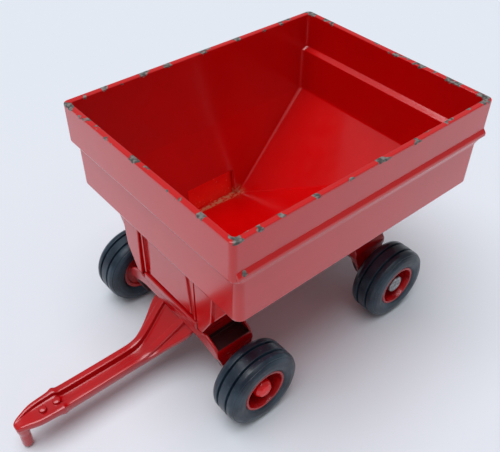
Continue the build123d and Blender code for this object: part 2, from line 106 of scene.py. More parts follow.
def new_material(name, **finish):
    """A material with its shader, and the place on the object in millimetres."""
    m = bpy.data.materials.new(name)
    m.use_nodes = True
    m.node_tree.nodes.clear()
    tree = m.node_tree
    shader = node(tree, "ShaderNodeBsdfPrincipled", **finish)
    out = node(tree, "ShaderNodeOutputMaterial")
    tree.links.new(shader.outputs["BSDF"], out.inputs["Surface"])
    place = node(tree, "ShaderNodeTexCoord").outputs["Object"]
    mm = node(tree, "ShaderNodeVectorMath", {"operation": "SCALE"}, i0=place, Scale=1 / MM).outputs["Vector"]
    return m, tree, shader, mm


def maths(tree, operation, a, b=0.0, c=0.0, clamp=False):
    kind = {"operation": operation, "use_clamp": clamp}
    return node(tree, "ShaderNodeMath", kind, i0=a, i1=b, i2=c).outputs[0]


def ramp(tree, value, low, high, to_low=0.0, to_high=1.0):
    return node(tree, "ShaderNodeMapRange", {"interpolation_type": "SMOOTHSTEP"}, Value=value, From_Min=low,
                From_Max=high, To_Min=to_low, To_Max=to_high).outputs["Result"]


def grain(tree, mm, size, detail=2.0, rough=0.5):
    """Soft random pattern, size in millimetres."""
    return node(tree, "ShaderNodeTexNoise", {"noise_dimensions": "3D"}, Vector=mm, Scale=1 / size,
                Detail=detail, Roughness=rough).outputs["Fac"]


def mix_colour(tree, share, a, b):
    return node(tree, "ShaderNodeMix", {"data_type": "RGBA"}, i0=share, i6=a, i7=b).outputs[2]


def link(tree, value, shader, socket):
    tree.links.new(value, shader.inputs[socket])


half_l = (hopper_high.x - hopper_low.x) / 2
RIM_HALF_W = 18.95
WALL = 0.9
BAND_Z = RIM_Z - 6.3
BEAD_Z = BAND_Z + 0.3
SILL_Z, SILL_Y, FLOOR_HALF = 9.7, -16.5, 6.0
KNOCK_SPACING = 2.3     # size of the pattern that the knocks are drawn from
KNOCK_RARITY = 0.58     # higher leaves fewer of them
COAT = 0.55             # weight of the enamel's clear gloss


def surface_bump(tree, shader, strength, depth, height):
    """Relief of a given depth in metres."""
    bump = node(tree, "ShaderNodeBump", None, Strength=strength, Distance=depth, Height=height)
    link(tree, bump.outputs["Normal"], shader, "Normal")


def rim_wear(tree, mm):
    """1 where handling has taken the paint off: ragged knocks about a millimetre long, by chance along
    the rim's top, surer at its corners, and one on the front end of each bead."""
    x, y, z = node(tree, "ShaderNodeSeparateXYZ", None, Vector=mm).outputs
    across = maths(tree, "ABSOLUTE", maths(tree, "SUBTRACT", x, HOPPER_X))
    aside = maths(tree, "ABSOLUTE", y)
    ragged = maths(tree, "MULTIPLY", maths(tree, "SUBTRACT", grain(tree, mm, 0.5, 3.0), 0.5), 0.9)
    corner = node(tree, "ShaderNodeCombineXYZ", None, X=across, Y=aside, Z=z)
    near_corner = node(tree, "ShaderNodeVectorMath", {"operation": "DISTANCE"}, i0=corner.outputs[0],
                       i1=(half_l - 0.5, RIM_HALF_W - 0.5, RIM_Z)).outputs["Value"]
    chance = maths(tree, "ADD", grain(tree, mm, KNOCK_SPACING), ramp(tree, near_corner, 0.4, 2.2, 0.12, 0.0))
    knock = maths(tree, "MULTIPLY", ramp(tree, chance, KNOCK_RARITY, KNOCK_RARITY + 0.015),
                  ramp(tree, maths(tree, "ADD", z, ragged), RIM_Z - 0.36, RIM_Z - 0.3))
    front = node(tree, "ShaderNodeCombineXYZ", None, X=x, Y=aside, Z=z)
    near_end = node(tree, "ShaderNodeVectorMath", {"operation": "DISTANCE"}, i0=front.outputs[0],
                    i1=(HOPPER_X + half_l - 1.4, RIM_HALF_W + 0.5, BEAD_Z + 1.1)).outputs["Value"]
    end = ramp(tree, maths(tree, "ADD", near_end, ragged), 0.4, 0.46, 1.0, 0.0)
    return maths(tree, "MAXIMUM", knock, end)


def sill_dust(tree, mm):
    """0 to 1, tan dust caught along the low edge of the floor."""
    x, y, z = node(tree, "ShaderNodeSeparateXYZ", None, Vector=mm).outputs
    drop = maths(tree, "POWER", maths(tree, "SUBTRACT", z, SILL_Z), 2.0)
    back = maths(tree, "POWER", maths(tree, "SUBTRACT", y, SILL_Y), 2.0)
    away = maths(tree, "SQRT", maths(tree, "ADD", drop, back))
    along = maths(tree, "SUBTRACT", x, HOPPER_X)
    # it lies thickest at the rear end and thins out forwards
    reach = ramp(tree, along, -FLOOR_HALF, FLOOR_HALF, 2.1, 0.5)
    inside = ramp(tree, maths(tree, "ABSOLUTE", along), FLOOR_HALF, FLOOR_HALF + 1.2, 1.0, 0.0)
    lying = ramp(tree, maths(tree, "DIVIDE", away, reach), 0.1, 1.0, 1.0, 0.0)
    patchy = ramp(tree, grain(tree, mm, 0.6, 4.0, 0.7), 0.38, 0.6)
    return maths(tree, "MULTIPLY", maths(tree, "MULTIPLY", inside, lying), patchy)


def pocket_painted_shade(tree, mm, pockets):
    """Painted shade mask: 1 inside boxes that are alike on both sides: middle x, half length, inner and
    outer y, top z.
    """
    x, y, z = node(tree, "ShaderNodeSeparateXYZ", None, Vector=mm).outputs
    aside = maths(tree, "ABSOLUTE", y)
    dark = 0.0
    for middle, half, near, far, top in pockets:
        away = maths(tree, "ABSOLUTE", maths(tree, "SUBTRACT", x, middle))
        along = ramp(tree, away, half - 0.05, half + 0.05, 1.0, 0.0)
        across = maths(tree, "MULTIPLY", ramp(tree, aside, near - 0.1, near),
                       ramp(tree, aside, far, far + 0.1, 1.0, 0.0))
        below = ramp(tree, z, top - 0.5, top, 1.0, 0.0)
        inside = maths(tree, "MULTIPLY", along, across)
        dark = maths(tree, "MAXIMUM", dark, maths(tree, "MULTIPLY", inside, below))
    return dark


def enamel(name, colour, shade, worn=False, pockets=()):
    # Sprayed gloss enamel over a zinc casting: a deep wet-looking red that mirrors what is around it,
    # faint orange peel, and dull grey zinc where it has been knocked off; where pockets are given, painted
    # shade inside them.
    m, tree, shader, mm = new_material(name, IOR=1.5, Coat_Weight=COAT, Coat_Roughness=0.13, Coat_IOR=1.5)
    red = mix_colour(tree, ramp(tree, grain(tree, mm, 9.0), 0.3, 0.7), linear(colour), linear(shade))
    rough = ramp(tree, grain(tree, mm, 2.5, 3.0), 0.3, 0.7, 0.2, 0.25)
    if worn:
        dust = sill_dust(tree, mm)
        red = mix_colour(tree, maths(tree, "MULTIPLY", dust, 0.8), red, linear("#B58A62"))
        rough = maths(tree, "MAXIMUM", rough, maths(tree, "MULTIPLY", dust, 0.8))
        bare = rim_wear(tree, mm)
        tarnish = ramp(tree, grain(tree, mm, 0.45), 0.35, 0.65)
        zinc = mix_colour(tree, tarnish, linear("#4A4642"), linear("#8C8781"))
        red = mix_colour(tree, bare, red, zinc)
        rough = maths(tree, "MAXIMUM", rough, maths(tree, "MULTIPLY", bare, 0.6))
        link(tree, maths(tree, "MULTIPLY", bare, 0.3), shader, "Metallic")
        dull = maths(tree, "MAXIMUM", bare, dust)
        link(tree, maths(tree, "SUBTRACT", COAT, dull, clamp=True), shader, "Coat Weight")
    if pockets:
        # painted shade: the insides of the axle arms' pockets, which lie in the hopper's shade, are mixed
        # towards near-black #120203
        painted_shade = pocket_painted_shade(tree, mm, pockets)
        red = mix_colour(tree, maths(tree, "MULTIPLY", painted_shade, 0.93), red, linear("#120203"))
        rough = maths(tree, "MAXIMUM", rough, maths(tree, "MULTIPLY", painted_shade, 0.75))
        link(tree, maths(tree, "SUBTRACT", COAT, painted_shade, clamp=True), shader, "Coat Weight")
    link(tree, red, shader, "Base Color")
    link(tree, rough, shader, "Roughness")
    surface_bump(tree, shader, 0.03, 0.00002, grain(tree, mm, 1.1, 0.0))
    return m


hopper_enamel = enamel("red_gloss_enamel_worn_rim", "#CE0002", "#C80002", worn=True)
# a pocket in each axle arm, its inside painted near-black as shade: middle x, half length, inner and outer
# y, top z
POCKETS = ((FRONT_X, 3.0, 8.05, 11.2, 11.3), (REAR_X, 2.85, 6.95, 9.35, 12.6))
gear_enamel = enamel("red_gloss_enamel_painted_shade_pockets", "#BC0008", "#B00008", pockets=POCKETS)


def moulded_red(name, colour, shade, **more):
    # Injection-moulded polystyrene, coloured right through: brighter than the enamel, softer gloss.
    m, tree, shader, mm = new_material(name, IOR=1.59, **more)
    flow = ramp(tree, grain(tree, mm, 2.4), 0.3, 0.7)
    link(tree, mix_colour(tree, flow, linear(colour), linear(shade)), shader, "Base Color")
    link(tree, ramp(tree, grain(tree, mm, 0.7), 0.3, 0.7, 0.16, 0.28), shader, "Roughness")
    surface_bump(tree, shader, 0.1, 0.00003, grain(tree, mm, 0.35))
    return m


def tyre_vinyl():
    # Soft moulded PVC, blue-black with a dull bloom, pale dust in the scuffs.
    m, tree, shader, mm = new_material("black_soft_vinyl", IOR=1.5)
    bloom = ramp(tree, grain(tree, mm, 3.5, 3.0), 0.3, 0.72)
    body = mix_colour(tree, bloom, linear("#0F1B2A"), linear("#283C4A"))
    dust = ramp(tree, grain(tree, mm, 0.28, 3.0, 0.7), 0.64, 0.72)
    dust = maths(tree, "MULTIPLY", dust, 0.45)
    link(tree, mix_colour(tree, dust, body, linear("#98A2AA")), shader, "Base Color")
    link(tree, ramp(tree, grain(tree, mm, 1.5), 0.3, 0.7, 0.28, 0.42), shader, "Roughness")
    surface_bump(tree, shader, 0.25, 0.00004, grain(tree, mm, 0.3, 3.0))
    return m


def bare_steel():
    # Plain drawn steel rod, its ends upset cold: grey, semi-matt, fine marks from the tool.
    m, tree, shader, mm = new_material("drawn_mild_steel")
    tone = ramp(tree, grain(tree, mm, 0.5, 4.0, 0.6), 0.35, 0.65)
    link(tree, mix_colour(tree, tone, linear("#77787A"), linear("#B4B5B6")), shader, "Base Color")
    shader.inputs["Metallic"].default_value = 0.9
    link(tree, ramp(tree, grain(tree, mm, 0.3, 3.0), 0.3, 0.7, 0.3, 0.5), shader, "Roughness")
    surface_bump(tree, shader, 0.4, 0.00005, grain(tree, mm, 0.25, 4.0))
    return m


red_plastic = moulded_red("red_moulded_polystyrene", "#F00008", "#E00006")
rim_plastic = moulded_red("dull_red_moulded_polystyrene", "#BE1014", "#9C0C10")
# half a millimetre thick, so light from outside glows through it
gate_plastic = moulded_red("thin_red_moulded_polystyrene", "#FF1A06", "#F21206", Subsurface_Weight=0.85,
                           Subsurface_Radius=(1.0, 0.06, 0.03), Subsurface_Scale=0.0015)
tyre_black = tyre_vinyl()
steel = bare_steel()


# ---- mesh helpers, all in millimetres ----
def solid_object(name, bm):
    bmesh.ops.scale(bm, vec=(MM, MM, MM), verts=bm.verts)
    mesh = bpy.data.meshes.new(name)
    bm.to_mesh(mesh)
    bm.free()
    thing = bpy.data.objects.new(name, mesh)
    scene.collection.objects.link(thing)
    return thing


def plain_mesh(thing):
    """Turns an object and its modifiers into one plain mesh."""
    graph = bpy.context.evaluated_depsgraph_get()
    graph.update()
    mesh = bpy.data.meshes.new_from_object(thing.evaluated_get(graph))
    thing.modifiers.clear()
    thing.data = mesh
    return thing


def combine(base, parts, operation="UNION"):
    for part in parts:
        cut = base.modifiers.new("join", "BOOLEAN")
        cut.operation, cut.object, cut.solver = operation, part, "MANIFOLD"
    plain_mesh(base)
    for part in parts:
        bpy.data.objects.remove(part)
    return base


def piece(thing, name, material, body, nodes, sharp=40):
    """Names a finished solid, gives it its finish, and ties it to the CAD."""
    thing.name = thing.data.name = name
    thing.data.materials.clear()
    thing.data.materials.append(material)
    thing.data.shade_smooth()
    thing.data.set_sharp_from_angle(angle=radians(sharp))
    flat = thing.modifiers.new("flat_faces", "WEIGHTED_NORMAL")
    flat.keep_sharp, flat.weight = True, 100
    plain_mesh(thing)
    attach(thing, body)
    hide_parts(*nodes)
    return thing


def prism(outline, axis, low, high, soft=0.2, steps=3, turn=None):
    """Outline drawn square to the axis (X: y,z; Y: x,z; Z: x,y), from low to high, every edge rounded."""
    place = {"X": lambda p, q, d: (d, p, q),
             "Y": lambda p, q, d: (p, d, q),
             "Z": lambda p, q, d: (p, q, d)}[axis]
    bm = bmesh.new()
    ends = [[bm.verts.new(place(p, q, d)) for p, q in outline] for d in (low, high)]
    count = len(outline)
    for ring in ends:
        bm.faces.new(ring)
    for k in range(count):
        bm.faces.new((ends[0][k], ends[0][(k + 1) % count], ends[1][(k + 1) % count], ends[1][k]))
    bmesh.ops.recalc_face_normals(bm, faces=bm.faces)
    if soft:
        bmesh.ops.bevel(bm, geom=bm.edges[:], offset=soft, segments=steps, profile=0.5, affect="EDGES",
                        clamp_overlap=True)
    if turn:
        bmesh.ops.transform(bm, matrix=turn, verts=bm.verts)
    return solid_object("prism", bm)


def block(x, y, z, soft=0.2, steps=3):
    return prism([(x[0], y[0]), (x[1], y[0]), (x[1], y[1]), (x[0], y[1])], "Z", z[0], z[1], soft, steps)


def mirrored(points):
    return [(-p, q) for p, q in reversed(points)]


def loft(rings, name="loft"):
    """Closed solid through rings of equal count, capped at both ends."""
    bm = bmesh.new()
    made = [[bm.verts.new(p) for p in ring] for ring in rings]
    count = len(rings[0])
    for one, two in zip(made, made[1:]):
        for k in range(count):
            bm.faces.new((one[k], one[(k + 1) % count], two[(k + 1) % count], two[k]))
    bm.faces.new(made[0])
    bm.faces.new(made[-1])
    bmesh.ops.recalc_face_normals(bm, faces=bm.faces)
    return solid_object(name, bm)


def eased(stations, steps=4):
    """Stations along a section, each a tuple of sizes and an easing length: its corners become curves."""
    out = []
    for i, (*here, ease) in enumerate(stations):
        here = Vector(here)
        if ease <= 0 or i in (0, len(stations) - 1):
            out.append(here)
            continue
        before, after = Vector(stations[i - 1][:-1]) - here, Vector(stations[i + 1][:-1]) - here
        start = here + before.normalized() * min(ease, before.length * 0.48)
        end = here + after.normalized() * min(ease, after.length * 0.48)
        for k in range(steps + 1):
            t = k / steps
            out.append(start * (1 - t) ** 2 + here * 2 * t * (1 - t) + end * t ** 2)
    return out


def turned(centre, outline, axis="Y", around=96):
    """Outline (radius, distance along the axis), closed, turned once about an axis through centre."""
    bm = bmesh.new()
    rings = []
    for r, a in outline:
        ring = []
        for k in range(around if r > 1e-6 else 1):
            u, v = r * cos(2 * pi * k / around), r * sin(2 * pi * k / around)
            ring.append(bm.verts.new(centre + Vector((u, a, v) if axis == "Y" else (u, v, a))))
        rings.append(ring if len(ring) > 1 else ring * around)
    for one, two in zip(rings, rings[1:] + rings[:1]):
        for k in range(around):
            corners = list(dict.fromkeys((one[k], one[(k + 1) % around], two[(k + 1) % around], two[k])))
            if len(corners) > 2:
                bm.faces.new(corners)
    bmesh.ops.recalc_face_normals(bm, faces=bm.faces)
    return solid_object("turned", bm)


def rounded(outline, steps=4):
    """Closed outline of (radius, distance, corner radius) with its corners rounded."""
    out = []
    count = len(outline)
    for i, (r, a, size) in enumerate(outline):
        here = Vector((r, a))
        before = Vector(outline[i - 1][:2]) - here
        after = Vector(outline[(i + 1) % count][:2]) - here
        if size <= 0:
            out.append(tuple(here))
            continue
        back = min(size / tan(before.angle(after) / 2), before.length * 0.48, after.length * 0.48)
        start, end = here + before.normalized() * back, here + after.normalized() * back
        for k in range(steps + 1):
            t = k / steps
            out.append(tuple(start * (1 - t) ** 2 + here * 2 * t * (1 - t) + end * t ** 2))
    return out


# ---- hopper ----
UPRIGHT_TOP, BOX_Z = 25.6, 25.3
LOW_L, LOW_W = half_l - 0.95, RIM_HALF_W - 0.2
SLOPE_SHIFT = 1.0


def corner_ring(front, rear, left, right, z, radius, steps=8):
    points = []
    for cx, cy, first in ((front, left, 0), (-rear, left, 90), (-rear, right, 180), (front, right, 270)):
        mx = cx - radius if cx > 0 else cx + radius
        my = cy - radius if first < 180 else cy + radius
        for k in range(steps + 1):
            turn = radians(first + 90 * k / steps)
            points.append((HOPPER_X + mx + radius * cos(turn), my + radius * sin(turn), z))
    return points


def sloping(z):
    """Inner edges of the funnel at a height: half length, left edge, right edge."""
    up = (z - SILL_Z) / (UPRIGHT_TOP - SILL_Z)
    return (FLOOR_HALF + up * (LOW_L - WALL - FLOOR_HALF), SILL_Y + up * (RIM_HALF_W - WALL - SILL_Y),
            SILL_Y - up * (RIM_HALF_W - WALL + SILL_Y))


IN_L, IN_W = half_l - WALL, RIM_HALF_W - WALL
# each: front, rear, left, right, height, corner radius, easing
inside = []
for z, radius in ((SILL_Z, 0.12), (SILL_Z + 0.8, 0.35), (SILL_Z + 2.5, 0.5)):
    along, left, right = sloping(z)
    inside.append((along, along, left, right, z, radius, 0))
inside += [
    (LOW_L - WALL, LOW_L - WALL, IN_W, -IN_W, UPRIGHT_TOP, 0.7, 0.4),
    (LOW_L - WALL, LOW_L - WALL, IN_W, -IN_W, BAND_Z - 0.1, 0.7, 0.15),
    (IN_L, IN_L, IN_W, -IN_W, BAND_Z + 0.35, 0.6, 0.15),
    (IN_L, IN_L, IN_W, -IN_W, RIM_Z - 0.1, 0.6, 0.15),
    (IN_L + 0.25, IN_L + 0.25, IN_W + 0.25, -IN_W - 0.25, RIM_Z + 0.02, 0.7, 0),
    (IN_L + 0.25, IN_L + 0.25, IN_W + 0.25, -IN_W - 0.25, RIM_Z + 1, 0.7, 0)]
outside = [
    (FLOOR_HALF + 0.8, FLOOR_HALF + 0.8, SILL_Y + 0.6, SILL_Y - WALL, SILL_Z - 0.55, 0.45, 0),
    (FLOOR_HALF + SLOPE_SHIFT, FLOOR_HALF + SLOPE_SHIFT, SILL_Y + 1.67, SILL_Y - WALL, SILL_Z, 0.7, 0.2),
    (LOW_L, LOW_L, LOW_W, -LOW_W, BOX_Z, 1.25, 0.35),
    (LOW_L, LOW_L, LOW_W, -LOW_W, BAND_Z - 0.8, 1.1, 0.3),
    (half_l, half_l, RIM_HALF_W, -RIM_HALF_W, BAND_Z, 0.8, 0.25),
    (half_l, half_l, RIM_HALF_W, -RIM_HALF_W, RIM_Z, 0.8, 0.3),
    (IN_L, IN_L, IN_W, -IN_W, RIM_Z, 0.6, 0)]
hopper = loft([corner_ring(*sizes) for sizes in eased(outside)])
hollow = loft([corner_ring(*sizes) for sizes in eased(inside)])

extras = []
for side in (1, -1):
    bead = [(side * y, z) for y, z in ((RIM_HALF_W - 0.5, BEAD_Z - 0.1), (RIM_HALF_W, BEAD_Z),
                                       (RIM_HALF_W + 0.5, BEAD_Z + 0.1), (RIM_HALF_W + 0.5, BEAD_Z + 0.7),
                                       (RIM_HALF_W, BEAD_Z + 1.3), (RIM_HALF_W - 0.5, BEAD_Z + 1.3))]
    extras.append(prism(bead, "X", HOPPER_X - half_l + 0.5, HOPPER_X + half_l - 0.5, 0.2))

# end supports: plate, legs, middle pad, ribs, foot plate and webs
SUPPORT_X = LOW_L - 1.7
PLATE_X = SUPPORT_X - 0.7
FOOT_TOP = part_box("chassis")[1].z / MM
FOOT_Z = FOOT_TOP - 0.5
for end in (1, -1):
    def span(a, b):
        return sorted((HOPPER_X + end * a, HOPPER_X + end * b))

    plate = [(8.4, FOOT_Z + 0.6), (16.5, BOX_Z + 0.3)]
    extras.append(prism(plate + mirrored(plate), "X", *span(PLATE_X - 0.7, PLATE_X), 0.15))
    pad = [(5.3, FOOT_TOP + 0.6), (4.1, BOX_Z + 0.3)]
    extras.append(prism(pad + mirrored(pad), "X", *span(PLATE_X - 0.5, PLATE_X + 0.3), 0.12))
    for side in (1, -1):
        leg = [(7.3, FOOT_Z), (8.4, FOOT_Z), (10.6, FOOT_Z + 4.0), (11.4, BOX_Z + 0.3), (6.9, BOX_Z + 0.3)]
        extras.append(prism([(side * y, z) for y, z in leg], "X", *span(PLATE_X - 0.65, SUPPORT_X), 0.18))
        extras.append(block(span(PLATE_X - 0.3, PLATE_X + 0.45), sorted((side * 6.2, side * 6.55)),
                            (FOOT_TOP + 0.4, BOX_Z + 0.1), 0.08, 2))
        web = [(SUPPORT_X - 1.0, FOOT_TOP), (SUPPORT_X - 6.9, FOOT_TOP), (SUPPORT_X - 6.9, FOOT_TOP + 3.8),
               (SUPPORT_X - 1.0, FOOT_TOP + 9.6)]
        web = [(HOPPER_X + end * x, z) for x, z in web]
        extras.append(prism(web, "Y", *sorted((side * 6.7, side * 7.5)), 0.15))
    foot = span(SUPPORT_X - 6.9, SUPPORT_X - 1.0)
    extras.append(block(foot, (-7.3, 7.3), (FOOT_TOP, FOOT_TOP + 1.0), 0.2))

# spout with its cheeks, and the two gate rails
SILL_OUT = SILL_Y - WALL
FALL = 2.0 * tan(radians(25))
RAIL_IN, RAIL_OUT = 6.0, 6.9
spout = [(SILL_OUT + 0.4, SILL_Z - 0.45), (SILL_OUT, SILL_Z - 0.45), (SILL_OUT - 2, SILL_Z - 0.45 - FALL),
         (SILL_OUT - 2, SILL_Z - 1.2 - FALL), (SILL_OUT, SILL_Z - 1.3), (SILL_OUT + 0.4, SILL_Z - 1.3)]
extras.append(prism(spout, "X", HOPPER_X - RAIL_OUT + 0.05, HOPPER_X + RAIL_OUT - 0.05, 0.12))
cheek = [(SILL_OUT + 0.4, SILL_Z - 1.3), (SILL_OUT, SILL_Z - 1.3), (SILL_OUT - 2, SILL_Z - 1.2 - FALL),
         (SILL_OUT - 2, SILL_Z + 0.5 - FALL), (SILL_OUT - 1.4, SILL_Z + 1.1), (SILL_OUT + 0.4, SILL_Z + 1.1)]
lean = atan2(1.35, BOX_Z - SILL_Z)
up_wall = Matrix.Translation((HOPPER_X, SILL_OUT, SILL_Z)) @ Matrix.Rotation(lean, 4, "X")
for side in (1, -1):
    extras.append(prism(cheek, "X", *sorted((HOPPER_X + side * RAIL_IN, HOPPER_X + side * RAIL_OUT)), 0.15))
    rail = [(side * x, y) for x, y in ((RAIL_IN, 0.5), (RAIL_OUT, 0.5), (RAIL_OUT, -1.15), (5.2, -1.15),
                                       (5.2, -0.7), (RAIL_IN, -0.7))]
    extras.append(prism(rail, "Z", -0.2, 9.4, 0.1, 2, up_wall))
combine(hopper, extras)
opening = prism([(-5.1, -1.5), (5.1, -1.5), (5.1, 1.5), (-5.1, 1.5)], "Z", 0, 5.4, 0.1, 2, up_wall)
floor_cut = prism([(-5.1, -0.05), (5.1, -0.05), (5.1, -0.8), (-5.1, -0.8)], "Z", -0.25, 3.0, 0, 1, up_wall)
combine(hopper, [hollow, opening, floor_cut], "DIFFERENCE")
piece(hopper, "hopper_casting", hopper_enamel, "wagon", ["hopper"])

# ---- gate: plate with a pull lip ----
gate = prism([(-5.9, -0.1), (5.9, -0.1), (5.9, -0.6), (-5.9, -0.6)], "Z", -0.2, 6.4, 0.1, 3, up_wall)
pull = prism([(-2.5, -0.4), (2.5, -0.4), (2.5, -1.4), (-2.5, -1.4)], "Z", 5.1, 5.9, 0.25, 3, up_wall)
combine(gate, [pull])
piece(gate, "gate_panel", gate_plastic, "gate", ["discharge_gate"])

# ---- front axle and tongue, one casting ----
RAIL_WIDTH = 1.25
AXLE_RADIUS = 0.92
KING_HOLE = 1.25


def tongue_ring(x, half, top, low, groove, depth, shoulder):
    """Channel section: groove, a rail each side of it, and a shoulder outside the rails."""
    rail = min(groove + RAIL_WIDTH, half - 0.1)
    step = top - max(shoulder, 0.3)
    soft = min(0.1, depth * 0.15)
    side = [(half, low), (half, step - 0.15), (half - 0.05, step - 0.05), (rail + 0.05, step),
            (rail, step + 0.08), (rail, top - 0.12), (rail - 0.1, top), (groove + 0.16, top),
            (groove + 0.06, top - soft), (groove, top - depth + soft), (groove - 0.1, top - depth)]
    return [(HOPPER_X + x, y, z) for y, z in [(0, low)] + side + [(0, top - depth)] + mirrored(side)]


def axle_bore(x):
    """Hole for an axle rod, right across the wagon."""
    outline = [(0, -14), (AXLE_RADIUS, -14), (AXLE_RADIUS, 14), (0, 14)]
    return turned(Vector((x, 0, AXLE_Z)), outline, "Y", 48)


# each: forward of the hopper's middle, half width, top, underside, half groove, its depth, shoulder's drop
tongue_stations = [
    (19.4, 4.7, 11.2, 8.7, 2.2, 0.6, 0.9), (20.3, 4.95, 10.95, 8.2, 2.1, 0.8, 1.0),
    (21.2, 4.9, 10.4, 7.5, 1.95, 0.9, 1.1), (22.4, 4.35, 9.5, 6.8, 1.7, 1.0, 1.1),
    (23.8, 3.5, 8.4, 6.0, 1.35, 1.0, 1.0), (25.2, 2.9, 7.3, 5.2, 1.05, 1.0, 0.8),
    (26.6, 2.4, 6.35, 4.45, 0.85, 1.0, 0.5), (27.8, 2.15, 5.95, 4.1, 0.78, 1.0, 0.3),
    (29.5, 2.1, 5.9, 4.1, 0.75, 1.0, 0.3), (40.2, 2.1, 5.9, 4.1, 0.75, 1.0, 0.3),
    (40.8, 2.14, 5.94, 4.1, 0.85, 0.9, 0.3), (41.1, 2.36, 6.12, 4.1, 1.0, 0.75, 0.3),
    (41.5, 2.32, 6.08, 4.12, 1.15, 0.66, 0.3), (41.9, 2.14, 5.92, 4.5, 1.2, 0.62, 0.3),
    (44.6, 2.05, 5.9, 4.5, 1.15, 0.6, 0.3), (45.6, 1.75, 5.86, 4.5, 0.95, 0.5, 0.3),
    (46.5, 1.4, 5.76, 4.5, 0.7, 0.25, 0.3), (47.3, 1.15, 5.62, 4.5, 0.5, 0.06, 0.3),
    (47.9, 0.85, 5.4, 4.5, 0.35, 0.02, 0.3), (48.1, 0.55, 5.2, 4.7, 0.15, 0.01, 0.3)]
tongue = loft([tongue_ring(*sizes) for sizes in tongue_stations])
ease = tongue.modifiers.new("cast_softness", "SUBSURF")
ease.levels = ease.render_levels = 2
plain_mesh(tongue)

parts = []
PIN_AT = HOPPER_X + 47.05
pin = [(0, 0.3, 0), (0.8, 0.3, 0.7), (0.8, 3.0, 0.5), (0.95, 3.9, 0.3), (1.02, 5.0, 0.2), (0, 5.0, 0)]
parts.append(turned(Vector((PIN_AT, 0, 0)), rounded(pin), "Z", 40))
for back in (3.35, 5.55):
    boss = [(0, 4.9, 0), (0.62, 4.9, 0), (0.6, 5.75, 0.18), (0, 5.85, 0)]
    parts.append(turned(Vector((PIN_AT - back, 0, 0)), rounded(boss), "Z", 32))
TURN_TOP, TURN_LOW = 11.9, 10.1
FRONT_LEG = 11.7
bridge = [(7.1, TURN_LOW), (7.9, 9.9), (FRONT_LEG - 0.6, 9.0), (FRONT_LEG, 9.6), (FRONT_LEG - 0.3, 10.7),
          (10.7, 11.3), (8.8, 12.3), (8.25, 12.3), (7.8, TURN_TOP)]
parts.append(prism(bridge + mirrored(bridge), "X", FRONT_X - 3.4, FRONT_X + 3.4, 0.28))
leg = [(3.4, 9.6), (2.1, AXLE_Z - 0.3), (1.3, AXLE_Z - 1.9)]
for side in (1, -1):
    parts.append(prism([(FRONT_X + x, z) for x, z in leg + mirrored(leg)], "Y",
                       *sorted((side * (FRONT_LEG - 1.6), side * FRONT_LEG)), 0.3))
combine(tongue, parts)
cuts = [block((FRONT_X - 2.95, FRONT_X + 2.95), sorted((side * 8.1, side * 11.15)), (10.15, 14), 0.2)
        for side in (1, -1)]
cuts.append(turned(Vector((FRONT_X, 0, 0)), [(0, 5), (KING_HOLE, 5), (KING_HOLE, 15), (0, 15)], "Z", 48))
cuts.append(axle_bore(FRONT_X))
combine(tongue, cuts, "DIFFERENCE")
piece(tongue, "front_axle_and_tongue_casting", gear_enamel, "steer", ["front_axle_tongue"])

# ---- chassis: front bolster, reach, rear axle bridge, one casting ----
DECK = FOOT_TOP - 1.4
REAR_LEG = 10.1
chassis = block((FRONT_X - 3.6, FRONT_X + 3.6), (-6.8, 6.8), (DECK, FOOT_TOP), 0.25)
parts = [block((REAR_X, FRONT_X), (-2.5, 2.5), (DECK + 0.02, FOOT_TOP - 0.02), 0.3),
         block((REAR_X + 3, REAR_X + 15), (-0.8, 0.8), (DECK - 1.5, DECK + 0.5), 0.25),
         block((REAR_X - 8, REAR_X + 1), (-6.8, 6.8), (DECK, FOOT_TOP), 0.25)]
bridge = [(6.4, DECK), (REAR_LEG - 1.6, DECK - 2.6), (REAR_LEG, DECK - 2.6), (REAR_LEG, DECK - 1.4),
          (REAR_LEG - 0.6, DECK - 0.5), (6.9, FOOT_TOP - 0.15), (6.0, FOOT_TOP)]
parts.append(prism(bridge + mirrored(bridge), "X", REAR_X - 3.6, REAR_X + 3.6, 0.28))
leg = [(3.6, DECK - 2.2), (2.1, AXLE_Z - 0.3), (1.3, AXLE_Z - 1.9)]
for side in (1, -1):
    parts.append(prism([(REAR_X + x, z) for x, z in leg + mirrored(leg)], "Y",
                       *sorted((side * (REAR_LEG - 1.6), side * REAR_LEG)), 0.3))
combine(chassis, parts)
cuts = [block((REAR_X - 2.8, REAR_X + 2.8), sorted((side * 7.0, side * 9.3)), (DECK - 1.5, 15), 0.2)
        for side in (1, -1)]
cuts.append(axle_bore(REAR_X))
combine(chassis, cuts, "DIFFERENCE")
piece(chassis, "chassis_casting", gear_enamel, "wagon", ["chassis"])

# ---- wheels ----
TYRE_R = (node_box("tyre_front_left")[1].z - node_box("tyre_front_left")[0].z) / 2
HALF_TYRE = (node_box("tyre_front_left")[1].y - node_box("tyre_front_left")[0].y) / 2
